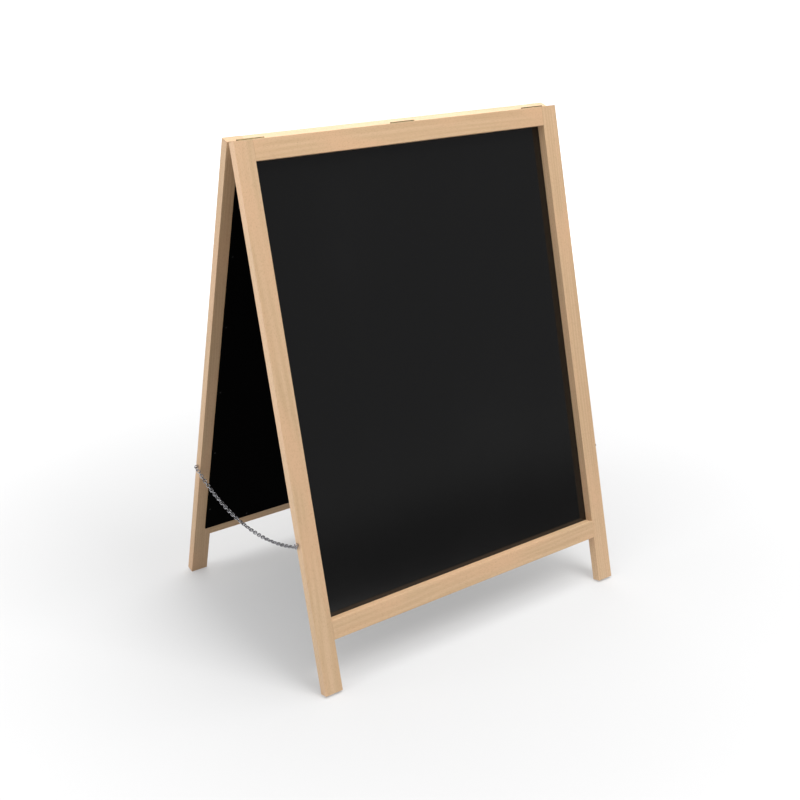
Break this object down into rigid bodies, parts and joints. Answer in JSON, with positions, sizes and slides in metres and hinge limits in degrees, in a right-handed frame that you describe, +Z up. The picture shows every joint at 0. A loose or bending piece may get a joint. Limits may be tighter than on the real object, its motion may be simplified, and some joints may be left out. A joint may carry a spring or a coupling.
{
  "type": "sandwich board",
  "caption": "Folding A-frame pavement sign with hinged beech frames, chalkboard panels and limit chains.",
  "frame": {"origin": "on the floor, midway between the feet", "axes": "+Z up, +X along the hinge line to the right as seen from the front, +Y from the front board to the rear board"},
  "size_m": [0.615, 0.4584, 0.7959],
  "materials": {
    "beech": "pale beech, thin satin lacquer",
    "dowel_beech": "plain beech",
    "chalkboard": "black chalkboard lacquer on hardboard, half gloss",
    "pin_black": "black lacquer",
    "brass": "dull rolled brass",
    "screw_brass": "dull brass",
    "eye_steel": "zinc plated",
    "chain_steel": "zinc plated, a little dull"
  },
  "bodies": {
    "front_frame": {"front_left_stile": "beech", "front_right_stile": "beech", "front_top_rail": "beech", "front_bottom_rail": "beech", "front_chalkboard": "chalkboard", "front_panel_pins": "pin_black", "front_dowels": "dowel_beech", "front_hinge_screws": "screw_brass", "front_left_screw_eye": "eye_steel", "front_right_screw_eye": "eye_steel", "left_hinge_front_leaf": "brass", "middle_hinge_front_leaf": "brass", "right_hinge_front_leaf": "brass", "left_hinge_pin": "brass", "middle_hinge_pin": "brass", "right_hinge_pin": "brass"},
    "rear_frame": {"rear_left_stile": "beech", "rear_right_stile": "beech", "rear_top_rail": "beech", "rear_bottom_rail": "beech", "rear_chalkboard": "chalkboard", "rear_panel_pins": "pin_black", "rear_dowels": "dowel_beech", "rear_hinge_screws": "screw_brass", "rear_left_screw_eye": "eye_steel", "rear_right_screw_eye": "eye_steel", "left_hinge_rear_leaf": "brass", "middle_hinge_rear_leaf": "brass", "right_hinge_rear_leaf": "brass"},
    "left_chain_1": {"left_chain_1": "chain_steel"},
    "left_chain_2": {"left_chain_2": "chain_steel"},
    "left_chain_3": {"left_chain_3": "chain_steel"},
    "left_chain_4": {"left_chain_4": "chain_steel"},
    "left_chain_5": {"left_chain_5": "chain_steel"},
    "right_chain_1": {"right_chain_1": "chain_steel"},
    "right_chain_2": {"right_chain_2": "chain_steel"},
    "right_chain_3": {"right_chain_3": "chain_steel"},
    "right_chain_4": {"right_chain_4": "chain_steel"},
    "right_chain_5": {"right_chain_5": "chain_steel"}
  },
  "joints": [
    {"name": "fold", "type": "hinge", "parent": "front_frame", "child": "rear_frame", "pos_m": [0, 0, 0.79206], "axis": [1, 0, 0], "range_deg": [-30, 0]},
    {"name": "left_chain_turn_1", "type": "hinge", "parent": "front_frame", "child": "left_chain_1", "pos_m": [-0.3038, -0.1614, 0.22802], "axis": [1, 0, 0], "range_deg": [-86.62, 0.5]},
    {"name": "left_chain_turn_2", "type": "hinge", "parent": "left_chain_1", "child": "left_chain_2", "pos_m": [-0.3038, -0.08805, 0.20376], "axis": [1, 0, 0], "range_deg": [-11.63, 0.5]},
    {"name": "left_chain_turn_3", "type": "hinge", "parent": "left_chain_2", "child": "left_chain_3", "pos_m": [-0.3038, -0.0083, 0.19373], "axis": [1, 0, 0], "range_deg": [-0.5, 82.75]},
    {"name": "left_chain_turn_4", "type": "hinge", "parent": "left_chain_3", "child": "left_chain_4", "pos_m": [-0.3038, 0.0083, 0.19373], "axis": [1, 0, 0], "range_deg": [-0.5, 82.75]},
    {"name": "left_chain_turn_5", "type": "hinge", "parent": "left_chain_4", "child": "left_chain_5", "pos_m": [-0.3038, 0.08805, 0.20376], "axis": [1, 0, 0], "range_deg": [-11.63, 0.5]},
    {"name": "right_chain_turn_1", "type": "hinge", "parent": "front_frame", "child": "right_chain_1", "pos_m": [0.3038, -0.1614, 0.22802], "axis": [1, 0, 0], "range_deg": [-86.62, 0.5]},
    {"name": "right_chain_turn_2", "type": "hinge", "parent": "right_chain_1", "child": "right_chain_2", "pos_m": [0.3038, -0.08805, 0.20376], "axis": [1, 0, 0], "range_deg": [-11.63, 0.5]},
    {"name": "right_chain_turn_3", "type": "hinge", "parent": "right_chain_2", "child": "right_chain_3", "pos_m": [0.3038, -0.0083, 0.19373], "axis": [1, 0, 0], "range_deg": [-0.5, 82.75]},
    {"name": "right_chain_turn_4", "type": "hinge", "parent": "right_chain_3", "child": "right_chain_4", "pos_m": [0.3038, 0.0083, 0.19373], "axis": [1, 0, 0], "range_deg": [-0.5, 82.75]},
    {"name": "right_chain_turn_5", "type": "hinge", "parent": "right_chain_4", "child": "right_chain_5", "pos_m": [0.3038, 0.08805, 0.20376], "axis": [1, 0, 0], "range_deg": [-11.63, 0.5]}
  ],
  "couplings": [
    {"joint": "left_chain_turn_1", "follows": "fold", "ratio": 2.8706},
    {"joint": "left_chain_turn_2", "follows": "fold", "ratio": 0.3709},
    {"joint": "left_chain_turn_3", "follows": "fold", "ratio": -2.7415},
    {"joint": "left_chain_turn_4", "follows": "fold", "ratio": -2.7415},
    {"joint": "left_chain_turn_5", "follows": "fold", "ratio": 0.3709},
    {"joint": "right_chain_turn_1", "follows": "fold", "ratio": 2.8706},
    {"joint": "right_chain_turn_2", "follows": "fold", "ratio": 0.3709},
    {"joint": "right_chain_turn_3", "follows": "fold", "ratio": -2.7415},
    {"joint": "right_chain_turn_4", "follows": "fold", "ratio": -2.7415},
    {"joint": "right_chain_turn_5", "follows": "fold", "ratio": 0.3709}
  ]
}
